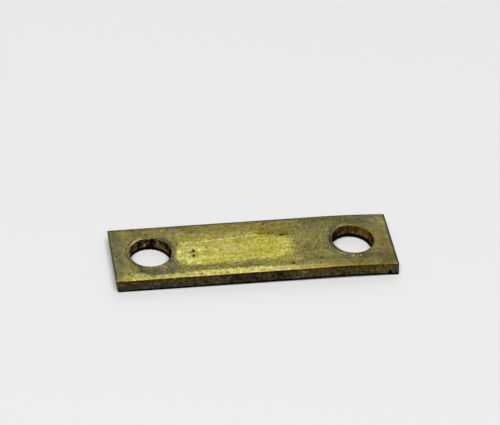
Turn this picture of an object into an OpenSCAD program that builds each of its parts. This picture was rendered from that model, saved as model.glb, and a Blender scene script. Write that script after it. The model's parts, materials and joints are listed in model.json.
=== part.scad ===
// Brass bus bar link: a flat strip sheared to length, with a punched bolt hole near each end.
// It lies as it rests on a table. +X runs along the strip to the end that is bent down, +Y is the
// far long edge and +Z is up. The origin is on the table, under the middle of the strip.

/* [Strip] */
// Length of the strip along its top, measured flat
bar_length = 60; // [44:1:120]
// Width across the long edges
bar_width = 16.3; // [13:0.1:30]
// Thickness of the brass
bar_thickness = 3.2; // [2:0.2:6]

/* [Bolt holes] */
// Diameter of both bolt holes
hole_diameter = 8.7; // [5:0.1:9.5]
// Distance from each hole's centre to the end next to it
hole_end_distance = 8.3; // [7:0.1:12]
// How far the line of holes sits from the centre line, towards the far edge
hole_offset = 0.2; // [0:0.05:0.5]

/* [Bent end] */
// Length of the stretch that is bent down, to the upper edge of its end
bend_length = 14.5; // [10:0.5:20]
// Radius of that bend on the underside
bend_radius = 190; // [100:5:400]

/* [Sheared edges] */
// Width of the rolled shoulder along the long top edges
edge_roll_width = 1.2; // [0.4:0.1:1.5]
// Drop of that shoulder at the edge
edge_roll_drop = 0.2; // [0.1:0.05:0.3]
// Width of the rolled shoulder along the top edges of the ends
end_roll_width = 0.7; // [0.3:0.1:1.2]
// Drop of that shoulder at the edge
end_roll_drop = 0.2; // [0.1:0.05:0.3]
// Lean of both end faces: how far the lower edge sits past the upper one, towards the bent end
end_lean = 0.5; // [0:0.1:0.8]
// Break along the bottom edges
bottom_break = 0.15; // [0.1:0.05:0.6]
// Break on the upright corners
corner_break = 0.25; // [0.1:0.05:0.5]

/* [Hole edges] */
// Mean width of the scraped ring at the top of each hole
scrape_width = 0.35; // [0.2:0.05:0.5]
// Angle of the scraped cone from the flat
scrape_angle = 22; // [15:1:35]
// How far the scraping sat off the hole's centre, towards the straight end
scrape_shift = 0.25; // [0:0.05:0.3]

/* [Nick] */
// Distance of the nick from the bent end
nick_end_distance = 1.6; // [1:0.1:4]
// Height of the nick's foot above the underside
nick_foot = 0.2; // [0.2:0.05:0.6]
// Width of the nick at its foot
nick_width = 0.8; // [0.3:0.1:1.2]
// Height of the nick from its foot to its tip
nick_height = 1; // [0.5:0.1:1.2]
// Depth of the nick into the near edge
nick_depth = 0.6; // [0.2:0.1:1]

/* [Hidden] */
$fn = 96;
brass_colour = [0.5, 0.46, 0.26];
// How far a cutting shape reaches past what it cuts
spare = 1;

// The strip is straight from its first end to where the bend starts
straight_run = bar_length - bend_length;
straight_end_x = -bar_length / 2;
bend_x = straight_end_x + straight_run;
bend_angle = bend_length / bend_radius * 180 / PI;
// The strip is drawn a little long at both ends, and the ends are then cut to their lean
excess = end_lean + spare;
excess_angle = excess / bend_radius * 180 / PI;

// It rests on the lower edges of its two ends, so the bend tips it up a little
straight_foot_x = straight_end_x + end_lean + bottom_break;
bent_foot_angle = (bend_length + end_lean - bottom_break) / bend_radius * 180 / PI;
bent_foot_x = bend_x + bend_radius * sin(bent_foot_angle);
bent_foot_drop = bend_radius * (1 - cos(bent_foot_angle));
rest_angle = atan(bent_foot_drop / (bent_foot_x - straight_foot_x));
rest_lift = -straight_foot_x * sin(rest_angle);

hole_radius = hole_diameter / 2;
hole_places = [straight_end_x + hole_end_distance, -straight_end_x - hole_end_distance];

// Height of the underside at a distance x along the strip, before it is tipped to rest
function underside(x) = x <= bend_x ? 0 : sqrt(bend_radius ^ 2 - (x - bend_x) ^ 2) - bend_radius;

// What is missing above a rolled shoulder, with the sharp corner at the origin and the metal to the left
module roll_off(width, drop) {
    roll_radius = (width ^ 2 + drop ^ 2) / (2 * drop);
    difference() {
        translate([-width, -drop]) square([width + spare, drop + spare]);
        translate([-width, -roll_radius]) circle(r = roll_radius);
    }
}

// Section across the strip: width along x, thickness along y
module strip_section() {
    half_width = bar_width / 2;
    difference() {
        polygon([
            [bottom_break - half_width, 0],
            [half_width - bottom_break, 0],
            [half_width, bottom_break],
            [half_width, bar_thickness],
            [-half_width, bar_thickness],
            [-half_width, bottom_break],
        ]);
        for (side = [0, 1])
            mirror([side, 0])
                translate([half_width, bar_thickness])
                    roll_off(edge_roll_width, edge_roll_drop);
    }
}

// The straight stretch, from the spare length before x = 0, lying on z = 0
module straight_strip() {
    translate([-excess, 0, 0])
        rotate([90, 0, 90]) linear_extrude(height = straight_run + excess) strip_section();
}

// The bent stretch, from x = 0, with the centre of its bend below the strip
module bent_strip() {
    translate([0, 0, -bend_radius])
        rotate([-90, 0, 0])
            rotate([0, 0, -90])
                rotate_extrude(angle = bend_angle + excess_angle)
                    translate([bend_radius, 0]) rotate(-90) strip_section();
}

// Carries a shape from x = 0 to the end of the bent stretch
module at_bent_end() {
    translate([0, 0, -bend_radius])
        rotate([0, bend_angle, 0])
            translate([0, 0, bend_radius]) children();
}

// What shearing takes off an end, with its sharp upper edge at x = 0 and the metal on the -x side.
// The lower edge sits at x = lean.
module end_trim(lean) {
    roll_x = lean * end_roll_drop / bar_thickness;
    slope = lean / bar_thickness;
    rotate([90, 0, 0]) linear_extrude(height = bar_width + 2 * spare, center = true) {
        polygon([
            [-slope * spare, bar_thickness + spare],
            [2 * excess, bar_thickness + spare],
            [2 * excess, -spare],
            [lean + slope * spare, -spare],
        ]);
        translate([roll_x, bar_thickness]) roll_off(end_roll_width, end_roll_drop);
        translate([lean, 0])
            polygon([[-bottom_break - spare, -spare], [spare, -spare], [spare, bottom_break + spare]]);
    }
    for (side = [0, 1])
        mirror([0, side, 0])
            translate([0, bar_width / 2, bar_thickness])
                rotate([0, -atan(slope), 0])
                    translate([0, 0, -bar_thickness - 2 * spare])
                        linear_extrude(height = bar_thickness + 3 * spare)
                            polygon([[-corner_break - spare, spare], [spare, spare], [spare, -corner_break - spare]]);
}

// The small pointed nick low in the near edge, with the upper edge of the end at x = 0
module nick() {
    translate([-nick_end_distance, nick_depth - bar_width / 2, nick_foot])
        rotate([90, 0, 0])
            linear_extrude(height = nick_depth + spare)
                polygon([[-nick_width / 2, 0], [nick_width / 2, 0], [0, nick_height]]);
}

// A bolt hole through a strip on z = 0: bore, broken lower edge and off-centre scraped upper edge
module bolt_hole() {
    scraped_radius = hole_radius + scrape_width;
    translate([0, 0, -spare]) cylinder(r = hole_radius, h = bar_thickness + 2 * spare);
    translate([0, 0, -spare])
        cylinder(r1 = hole_radius + bottom_break + spare, r2 = hole_radius, h = bottom_break + spare);
    translate([-scrape_shift, 0, bar_thickness - spare])
        cylinder(
            r1 = scraped_radius - spare / tan(scrape_angle),
            r2 = scraped_radius + spare / tan(scrape_angle),
            h = 2 * spare
        );
}

// Sets the strip down on the table
module rested() {
    translate([0, 0, rest_lift]) rotate([0, -rest_angle, 0]) children();
}

module bus_bar() {
    color(brass_colour)
        rested() difference() {
            union() {
                translate([straight_end_x, 0, 0]) straight_strip();
                translate([bend_x, 0, 0]) bent_strip();
            }
            translate([straight_end_x, 0, 0]) mirror([1, 0, 0]) end_trim(-end_lean);
            translate([bend_x, 0, 0]) at_bent_end() {
                end_trim(end_lean);
                nick();
            }
            for (x = hole_places)
                translate([x, hole_offset, underside(x)]) rotate([0, rest_angle, 0]) bolt_hole();
        }
}

bus_bar();
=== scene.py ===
"""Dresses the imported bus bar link: a worn brass strip, on a pale table under soft light.

The file is laid out as an add-on. Sizes, colours and the stage are property groups, and there is
one operator for the strip and one for the stage. Lengths are in metres, apart from the finish of the
strip, which is written in millimetres of the strip's own space.
"""

import json
import math

import bmesh
import bpy
from bpy.props import FloatProperty, FloatVectorProperty, PointerProperty
from mathutils import Euler, Matrix, Vector, noise


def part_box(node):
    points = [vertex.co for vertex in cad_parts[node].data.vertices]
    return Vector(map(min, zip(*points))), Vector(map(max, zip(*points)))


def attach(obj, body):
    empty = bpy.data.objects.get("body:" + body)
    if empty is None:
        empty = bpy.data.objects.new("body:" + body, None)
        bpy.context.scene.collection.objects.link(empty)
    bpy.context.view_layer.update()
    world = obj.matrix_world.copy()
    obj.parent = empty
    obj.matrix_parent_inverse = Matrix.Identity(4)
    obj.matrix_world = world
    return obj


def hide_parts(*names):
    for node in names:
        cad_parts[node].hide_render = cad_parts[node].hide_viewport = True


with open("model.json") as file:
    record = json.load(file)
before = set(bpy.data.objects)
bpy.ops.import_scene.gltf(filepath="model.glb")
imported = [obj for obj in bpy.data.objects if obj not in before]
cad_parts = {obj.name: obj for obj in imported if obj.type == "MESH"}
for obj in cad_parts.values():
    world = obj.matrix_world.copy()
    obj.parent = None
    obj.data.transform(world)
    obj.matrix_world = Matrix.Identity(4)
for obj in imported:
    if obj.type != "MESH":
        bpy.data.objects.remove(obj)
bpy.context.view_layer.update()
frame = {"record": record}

bl_info = {
    "name": "Bus Bar Link",
    "version": (1, 0, 0),
    "blender": (4, 5, 0),
    "location": "View3D > Sidebar > Bus Bar",
    "description": "Models a worn brass link strip with two bolt holes, and its studio stage",
    "category": "Object",
}

MM = 0.001
MOUNTS = {mount["name"]: mount for mount in frame["record"]["mounts"]}
HOLE_NAMES = ("hole_straight_end", "hole_bent_end")
HOLES = [Vector(MOUNTS[name]["pos_m"]).xy for name in HOLE_NAMES]
HOLE_RADIUS = MOUNTS[HOLE_NAMES[0]]["dims"]["r_mm"] * MM
STRIP_LOW, STRIP_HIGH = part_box("bus_bar")

# How finely the strip is divided
RIM_STEPS = 256
RINGS = 22
MIDDLE_STEPS = 112
WALL_ROWS = 20
BREAK_ROWS = 4
ARRIS_ROWS = 2
# Sides of the sheet round a hole, each with the same share of the rim's steps
SIDES = 4
# Half the side of the square grid that each sheet of the blank is drawn from
HALF_GRID = 0.5
# Direction from a hole to the low corner of the sheet round it
LOW_CORNER = -3 * math.pi / 4
MERGE_DISTANCE = MM / 1000

# Levels past which a point is on the top face or on the underside
TOP_LEVEL = 0.999
UNDER_LEVEL = 0.001
# Faces nearer than this to the middle of a hole belong to its wall
WALL_REACH = 1.1 * HOLE_RADIUS
# How far in from an edge the strip gives way with it
EDGE_REACH = 3 * MM

# Unevenness of the scraped rings: share of their width, lumps round the ring, and step between the holes
SCRAPE_UNEVENNESS = 0.7
SCRAPE_LUMPS = 1.7
SCRAPE_STEP = 100

# Torn sheared edges: sizes of the streaks and lumps, their shares, and how the tearing grows downwards
STREAK_SIZE = 0.35 * MM
STREAK_STRETCH = 6
LUMP_SIZE = 0.8 * MM
STREAK_SHARE = 0.6
LUMP_SHARE = 0.4
TEAR_AT_FOOT = 1.35
TEAR_FALL = 1.5
TEAR_LEAST = 0.15

# How steep the sides of the nick are
NICK_STEEPNESS = 2

# Order of the strip's materials
TOP_FACE, UNDER_FACE, SHEARED_EDGE, HOLE_WALL = range(4)


def length_property(name, description, default):
    """A length that a user can change"""
    return FloatProperty(name=name, description=description, default=default, unit="LENGTH")


class StripSizes(bpy.types.PropertyGroup):
    """Sizes of the strip"""

    length: length_property("Length", "Length of the strip along its top, measured flat", 60 * MM)
    width: length_property("Width", "Width across the long edges", STRIP_HIGH.y - STRIP_LOW.y)
    thickness: length_property("Thickness", "Thickness of the brass", 3.2 * MM)
    bend_length: length_property("Bend Length", "Length of the stretch that is bent down", 14.5 * MM)
    bend_radius: length_property("Bend Radius", "Radius of the bend on the underside", 190 * MM)
    edge_roll_width: length_property(
        "Edge Roll Width", "Width of the rolled shoulder along the long top edges", 1.2 * MM)
    end_roll_width: length_property(
        "End Roll Width", "Width of the rolled shoulder along the ends", 0.7 * MM)
    roll_drop: length_property("Roll Drop", "Drop of the rolled shoulders at the edge", 0.2 * MM)
    end_lean: length_property(
        "End Lean", "How far the lower edge of each end sits past the upper one", 0.5 * MM)
    bottom_break: length_property("Bottom Break", "Rounding along the bottom edges", 0.15 * MM)
    corner_round: length_property("Corner Round", "Rounding of the upright corners", 0.3 * MM)
    arris: length_property("Arris", "Rounding where a rolled shoulder meets the sheared edge", 0.12 * MM)
    scrape_width: length_property(
        "Scrape Width", "Mean width of the scraped ring at the top of each hole", 0.35 * MM)
    scrape_shift: length_property(
        "Scrape Shift", "How far the scraping sat off the hole's centre", 0.25 * MM)
    scrape_angle: FloatProperty(
        name="Scrape Angle", description="Angle of the scraped cone from the flat",
        default=math.radians(22), subtype="ANGLE")
    ragged: length_property("Ragged", "Roughness of the torn lower part of the sheared edges", 0.05 * MM)
    nick_from_end: length_property("Nick Distance", "Distance of the nick from the bent end", 1.6 * MM)
    nick_foot: length_property("Nick Foot", "Height of the nick's foot above the underside", 0.2 * MM)
    nick_width: length_property("Nick Width", "Width of the nick at its foot", 0.8 * MM)
    nick_height: length_property("Nick Height", "Height of the nick from its foot to its tip", 1.0 * MM)
    nick_depth: length_property("Nick Depth", "Depth of the nick into the near edge", 0.6 * MM)


def colour_property(name, description, default):
    """A colour that a user can change"""
    return FloatVectorProperty(
        name=name, description=description, subtype="COLOR", size=3, min=0, max=1, default=default)


class BrassColours(bpy.types.PropertyGroup):
    """Colours of the worn brass and of the marks on it"""

    black_tarnish: colour_property("Black Tarnish", "Top face, least worn", (0.030, 0.025, 0.012))
    dark_tarnish: colour_property("Dark Tarnish", "Top face, little worn", (0.105, 0.091, 0.036))
    olive_tarnish: colour_property("Olive Tarnish", "Most of the top face", (0.240, 0.210, 0.068))
    dull_brass: colour_property("Dull Brass", "Top face, half worn", (0.395, 0.350, 0.086))
    clean_brass: colour_property("Clean Brass", "Patch and band on the top face", (0.570, 0.515, 0.112))
    rubbed_brass: colour_property("Rubbed Brass", "Top face, most worn", (0.820, 0.760, 0.240))
    # edge_black is soot with painted contact shade, along the bottom of the sheared edges
    edge_black: colour_property("Edge Black", "Soot on the sheared edges", (0.004, 0.004, 0.003))
    edge_dark: colour_property("Edge Dark", "Sheared edges, darkest", (0.026, 0.020, 0.008))
    edge_brown: colour_property("Edge Brown", "Most of the sheared edges", (0.090, 0.070, 0.026))
    edge_bright: colour_property("Edge Bright", "Sheared edges, cleanest", (0.420, 0.350, 0.110))
    # wall_black is soot with painted contact shade, along the lower rim of the hole walls
    wall_black: colour_property("Wall Black", "Soot on the hole walls", (0.003, 0.003, 0.001))
    wall_dark: colour_property("Wall Dark", "Hole walls, darkest", (0.018, 0.011, 0.002))
    wall_brown: colour_property("Wall Brown", "Most of the hole walls", (0.090, 0.062, 0.012))
    wall_bright: colour_property("Wall Bright", "Hole walls, cleanest", (0.340, 0.270, 0.100))
    brown: colour_property("Brown", "Brown stains, specks and pit rims", (0.200, 0.135, 0.030))
    rust: colour_property("Rust", "Warm tinge of the brass", (0.300, 0.170, 0.030))
    rose: colour_property("Rose", "Pale reddish marks", (0.400, 0.290, 0.150))
    stain: colour_property("Stain", "Mustard stains", (0.300, 0.230, 0.006))
    soot: colour_property("Soot", "Small dark marks", (0.016, 0.010, 0.003))
    tar: colour_property("Tar", "Floor of the pits", (0.028, 0.019, 0.001))
    # glint is painted highlight, for small bright specks where light glints
    glint: colour_property("Glint", "Small bright specks", (0.760, 0.680, 0.270))
    plain_sheen: colour_property("Plain Sheen", "Grazing light on the flat faces", (1.0, 1.0, 1.0))
    dull_sheen: colour_property("Dull Sheen", "Grazing light on torn metal", (0.30, 0.22, 0.13))


class StageSettings(bpy.types.PropertyGroup):
    """Table, light and camera"""

    floor_colour: colour_property("Table", "Colour of the table", (0.87, 0.87, 0.87))
    room_light: FloatProperty(
        name="Room Light", description="Strength of the even light from all round", default=0.08)
    box_light: FloatProperty(
        name="Soft Box", description="Brightness of the soft box overhead", default=6.3)
    card_light: FloatProperty(
        name="Card", description="Brightness of the pale card behind the strip", default=1.0)
    camera_distance: length_property(
        "Camera Distance", "From the camera to the point it looks at", 503.23 * MM)
    camera_elevation: FloatProperty(
        name="Camera Elevation", description="How steeply the camera looks down",
        default=math.radians(40.488), subtype="ANGLE")
    camera_azimuth: FloatProperty(
        name="Camera Azimuth", description="How far the camera looks to the right of straight across",
        default=math.radians(12.225), subtype="ANGLE")
    camera_roll: FloatProperty(
        name="Camera Roll", description="How far the camera leans about its line of sight",
        default=math.radians(-4.591), subtype="ANGLE")
    camera_aim: FloatVectorProperty(
        name="Camera Aim", description="The point on the table that the camera looks at",
        subtype="XYZ", size=3, unit="LENGTH", default=(2.068 * MM, 14.667 * MM, 0.0))
    lens: FloatProperty(
        name="Lens", description="Focal length in millimetres", default=166.65)


# Table and lamps, with their sizes and places in metres
TABLE_HALF_SIZE = 1.5
TABLE_ROUGHNESS = 0.9
LAMP_SIZE = 1.4
SOFT_BOX_PLACE = Vector((-0.15, -0.68, 1.88))
CARD_PLACE = Vector((0.29, 1.38, 1.41))


# Shape of the strip


def eased(share):
    """Spreads even shares of a span so that they lie closer together near its two ends"""
    return (share + (1 - math.cos(math.pi * share)) / 2) / 2


def outline_point(turn, low, high):
    """Point on a rectangle's outline, a share of a turn from its low corner"""
    corners = [low, Vector((high.x, low.y)), high, Vector((low.x, high.y))]
    side, along = divmod(turn * SIDES, 1)
    start = corners[int(side) % SIDES]
    stop = corners[int(side + 1) % SIDES]
    return start.lerp(stop, eased(along))


def add_hole_sheet(bm, hole, low, high):
    """Adds a flat sheet that fills a rectangle round a hole, in rings from the rim outwards"""
    sheet = bmesh.ops.create_grid(bm, x_segments=RIM_STEPS, y_segments=RINGS, size=HALF_GRID)
    for vert in sheet["verts"]:
        turn = vert.co.x + HALF_GRID
        angle = 2 * math.pi * turn + LOW_CORNER
        rim = hole + HOLE_RADIUS * Vector((math.cos(angle), math.sin(angle)))
        vert.co.xy = rim.lerp(outline_point(turn, low, high), eased(vert.co.y + HALF_GRID))


def add_middle_sheet(bm, low, high):
    """Adds the flat sheet between the two hole sheets"""
    side_steps = RIM_STEPS // SIDES
    sheet = bmesh.ops.create_grid(bm, x_segments=MIDDLE_STEPS, y_segments=side_steps, size=HALF_GRID)
    for vert in sheet["verts"]:
        vert.co.x = low.x + (high.x - low.x) * (vert.co.x + HALF_GRID)
        vert.co.y = low.y + (high.y - low.y) * eased(vert.co.y + HALF_GRID)


def flat_blank(sizes):
    """A closed flat blank with two holes, finely divided, lying on z = 0"""
    bm = bmesh.new()
    corner = Vector((sizes.length / 2, sizes.width / 2))
    straight_hole, bent_hole = HOLES
    left_high = Vector((2 * straight_hole.x + corner.x, corner.y))
    right_low = Vector((2 * bent_hole.x - corner.x, -corner.y))
    add_hole_sheet(bm, straight_hole, -corner, left_high)
    add_middle_sheet(bm, Vector((left_high.x, -corner.y)), Vector((right_low.x, corner.y)))
    add_hole_sheet(bm, bent_hole, right_low, corner)
    bmesh.ops.remove_doubles(bm, verts=bm.verts, dist=MERGE_DISTANCE)
    bmesh.ops.recalc_face_normals(bm, faces=bm.faces)
    bmesh.ops.solidify(bm, geom=bm.faces[:], thickness=sizes.thickness)
    lowest = min(vert.co.z for vert in bm.verts)
    bmesh.ops.translate(bm, verts=bm.verts, vec=(0, 0, -lowest))
    tall = sizes.thickness / 2
    uprights = [edge for edge in bm.edges if abs(edge.verts[0].co.z - edge.verts[1].co.z) > tall]
    bmesh.ops.subdivide_edges(bm, edges=uprights, cuts=WALL_ROWS - 1, use_grid_fill=True)
    bmesh.ops.recalc_face_normals(bm, faces=bm.faces)
    return bm


def mark_faces(bm, level):
    """Gives each face the material of the surface it belongs to"""
    for face in bm.faces:
        levels = [vert[level] for vert in face.verts]
        middle = face.calc_center_median().xy
        if min(levels) > TOP_LEVEL:
            face.material_index = TOP_FACE
        elif max(levels) < UNDER_LEVEL:
            face.material_index = UNDER_FACE
        elif min((middle - hole).length for hole in HOLES) < WALL_REACH:
            face.material_index = HOLE_WALL
        else:
            face.material_index = SHEARED_EDGE
        face.smooth = True


def rolled(distance, width, drop):
    """How far a rolled shoulder has dropped at a distance from its edge"""
    if distance >= width:
        return 0.0
    radius = (width ** 2 + drop ** 2) / (2 * drop)
    return radius - math.sqrt(radius ** 2 - (width - max(distance, 0.0)) ** 2)


def top_height(place, sizes):
    """Height of the top surface of the flat strip, with its rolled shoulders and scraped holes"""
    from_end = sizes.length / 2 - abs(place.x)
    from_side = sizes.width / 2 - abs(place.y)
    end_drop = rolled(from_end, sizes.end_roll_width, sizes.roll_drop)
    side_drop = rolled(from_side, sizes.edge_roll_width, sizes.roll_drop)
    height = sizes.thickness - max(end_drop, side_drop)
    for hole in HOLES:
        spoke = place - hole + Vector((sizes.scrape_shift, 0))
        lumps = hole.to_3d() * SCRAPE_STEP + spoke.normalized().to_3d() * SCRAPE_LUMPS
        uneven = 1 + SCRAPE_UNEVENNESS * noise.noise(lumps)
        reach = HOLE_RADIUS + sizes.scrape_width * uneven - spoke.length
        height -= max(reach, 0.0) * math.tan(sizes.scrape_angle)
    return height


def edge_profile(level, top, sizes):
    """How far back and how high the edge stands at a level: broken below, upright, eased at the arris"""
    row = round(level * WALL_ROWS)
    upright_rows = WALL_ROWS - BREAK_ROWS - ARRIS_ROWS
    if row <= BREAK_ROWS:
        angle = math.pi / 2 * row / BREAK_ROWS
        back = sizes.bottom_break * (1 - math.sin(angle))
        return back, sizes.bottom_break * (1 - math.cos(angle))
    if row <= BREAK_ROWS + upright_rows:
        share = (row - BREAK_ROWS) / upright_rows
        return 0.0, sizes.bottom_break + share * (top - sizes.arris - sizes.bottom_break)
    angle = math.pi / 2 * (row - BREAK_ROWS - upright_rows) / ARRIS_ROWS
    return sizes.arris * (1 - math.cos(angle)), top - sizes.arris * (1 - math.sin(angle))


def torn(place, height, sizes):
    """How far the sheared edge is torn back: smooth near the top, ragged in upright streaks below"""
    streaks = noise.noise(Vector((place.x, place.y, height / STREAK_STRETCH)) / STREAK_SIZE)
    lumps = noise.noise(Vector((place.x, place.y, height)) / LUMP_SIZE)
    share = min(max(TEAR_AT_FOOT - height / sizes.thickness * TEAR_FALL, TEAR_LEAST), 1.0)
    return sizes.ragged * share * (STREAK_SHARE * streaks + LUMP_SHARE * lumps)


def nicked(place, height, sizes):
    """How far the near edge is cut back by the nick"""
    above_foot = height - sizes.nick_foot
    if place.y > 0 or above_foot < 0:
        return 0.0
    half_width = sizes.nick_width / 2 * max(1 - above_foot / sizes.nick_height, 0.0)
    from_nick = abs(place.x - sizes.length / 2 + sizes.nick_from_end)
    if from_nick >= half_width:
        return 0.0
    return sizes.nick_depth * min(NICK_STEEPNESS * (1 - from_nick / half_width), 1.0)


def corner_rounded(place, sizes):
    """Draws a point of the plan in where it lies within the round of a corner"""
    inner = Vector((sizes.length / 2 - sizes.corner_round, sizes.width / 2 - sizes.corner_round))
    past_x = (abs(place.x) - inner.x) / sizes.corner_round
    past_y = (abs(place.y) - inner.y) / sizes.corner_round
    if past_x <= 0 or past_y <= 0:
        return place
    x = inner.x + sizes.corner_round * past_x * math.sqrt(1 - past_y ** 2 / 2)
    y = inner.y + sizes.corner_round * past_y * math.sqrt(1 - past_x ** 2 / 2)
    return Vector((math.copysign(x, place.x), math.copysign(y, place.y)))


def set_back(place, back, nick, sizes):
    """Moves a point of the plan away from the edges near it, less and less further in"""
    corner = Vector((sizes.length / 2, sizes.width / 2))
    moved = place.copy()
    from_end = corner.x - abs(place.x)
    from_side = corner.y - abs(place.y)
    moved.x -= math.copysign(back * max(1 - from_end / EDGE_REACH, 0.0), place.x)
    moved.y -= math.copysign((back + nick) * max(1 - from_side / EDGE_REACH, 0.0), place.y)
    for hole in HOLES:
        spoke = place - hole
        from_rim = spoke.length - HOLE_RADIUS
        moved += spoke.normalized() * back * max(1 - from_rim / EDGE_REACH, 0.0)
    return moved


def leaned(place, height, sizes):
    """How far the lean of the sheared ends carries a point towards the bent end"""
    from_end = sizes.length / 2 - abs(place.x)
    share = max(1 - from_end / EDGE_REACH, 0.0)
    return sizes.end_lean * share * (1 - height / sizes.thickness)


def bent(point, sizes):
    """Bends a point of the flat strip down with the end of the strip"""
    past = point.x - (sizes.length / 2 - sizes.bend_length)
    if past <= 0:
        return point
    angle = past / sizes.bend_radius
    radius = sizes.bend_radius + point.z
    x = point.x - past + radius * math.sin(angle)
    return Vector((x, point.y, radius * math.cos(angle) - sizes.bend_radius))


def rest_matrix():
    """Sets the strip down as the frame has it, from its contact face"""
    face = MOUNTS["contact_face"]
    tip = Matrix.Rotation(-math.asin(face["axis"][0]), 4, "Y")
    return Matrix.Translation(face["pos_m"]) @ tip


def shape_strip(bm, sizes):
    """Works the flat blank into the sheared, punched, nicked and bent strip"""
    level = bm.verts.layers.float.new("level")
    for vert in bm.verts:
        vert[level] = vert.co.z / sizes.thickness
    mark_faces(bm, level)
    for vert in bm.verts:
        place = vert.co.xy
        top = top_height(place, sizes)
        back, height = edge_profile(vert[level], top, sizes)
        if vert[level] > TOP_LEVEL:
            height = top
        elif vert[level] < UNDER_LEVEL:
            height = 0.0
        back += torn(place, height, sizes)
        moved = set_back(place, back, nicked(place, height, sizes), sizes)
        moved = corner_rounded(moved, sizes)
        moved.x += leaned(place, height, sizes)
        vert.co = bent(Vector((moved.x, moved.y, height)), sizes)
    bmesh.ops.transform(bm, matrix=rest_matrix(), verts=bm.verts)


# Finish of the strip

# Value of the noise halfway between its lumps and hollows
NOISE_MIDDLE = 0.5
# Where the stops of a colour scale start out, before they are set
SCALE_MIDDLE = 0.5
# Sockets of a node that mixes colours: share, colour below, colour on top, and the mixed colour
MIX_SHARE, MIX_BELOW, MIX_ON_TOP = 0, 6, 7
MIXED = 2


class Field:
    """A number that varies over a surface; sums of fields become nodes"""

    def __init__(self, finish, socket):
        self.finish = finish
        self.socket = socket

    def combine(self, operation, *others):
        node = self.finish.add("ShaderNodeMath", operation=operation)
        for socket, value in zip(node.inputs, (self, *others)):
            self.finish.feed(socket, value)
        return Field(self.finish, node.outputs[0])

    def __add__(self, other):
        return self.combine("ADD", other)

    def __sub__(self, other):
        return self.combine("SUBTRACT", other)

    def __mul__(self, other):
        return self.combine("MULTIPLY", other)

    def __abs__(self):
        return self.combine("ABSOLUTE")

    def __rsub__(self, other):
        return self * -1 + other

    def power(self, exponent):
        return self.combine("POWER", exponent)

    def root(self):
        return self.combine("SQRT")

    def most(self, other):
        return self.combine("MAXIMUM", other)

    def ramp(self, zero_at, one_at):
        """Eases from 0 to 1 between two values, the second above or below the first"""
        node = self.finish.add("ShaderNodeMapRange", interpolation_type="SMOOTHSTEP")
        for socket, value in zip(node.inputs, (self, zero_at, one_at)):
            self.finish.feed(socket, value)
        return Field(self.finish, node.outputs[0])


class Fields:
    """The named fields that one finish is mixed from: places in millimetres, and its noises"""

    def __init__(self, finish, noises):
        self.x, self.y, self.z = finish.axes()
        for name, settings in noises.items():
            setattr(self, name, finish.noise(*settings))

    def stretch(self, table):
        """Adds fields that ease from 0 to 1 along a field that is there already"""
        for name, (source, zero_at, one_at) in table.items():
            setattr(self, name, getattr(self, source).ramp(zero_at, one_at))

    def blend(self, base, weights):
        """A base value or field, plus each of the named fields times its weight"""
        total = base
        for name, weight in weights.items():
            total = getattr(self, name) * weight + total
        return total


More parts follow.
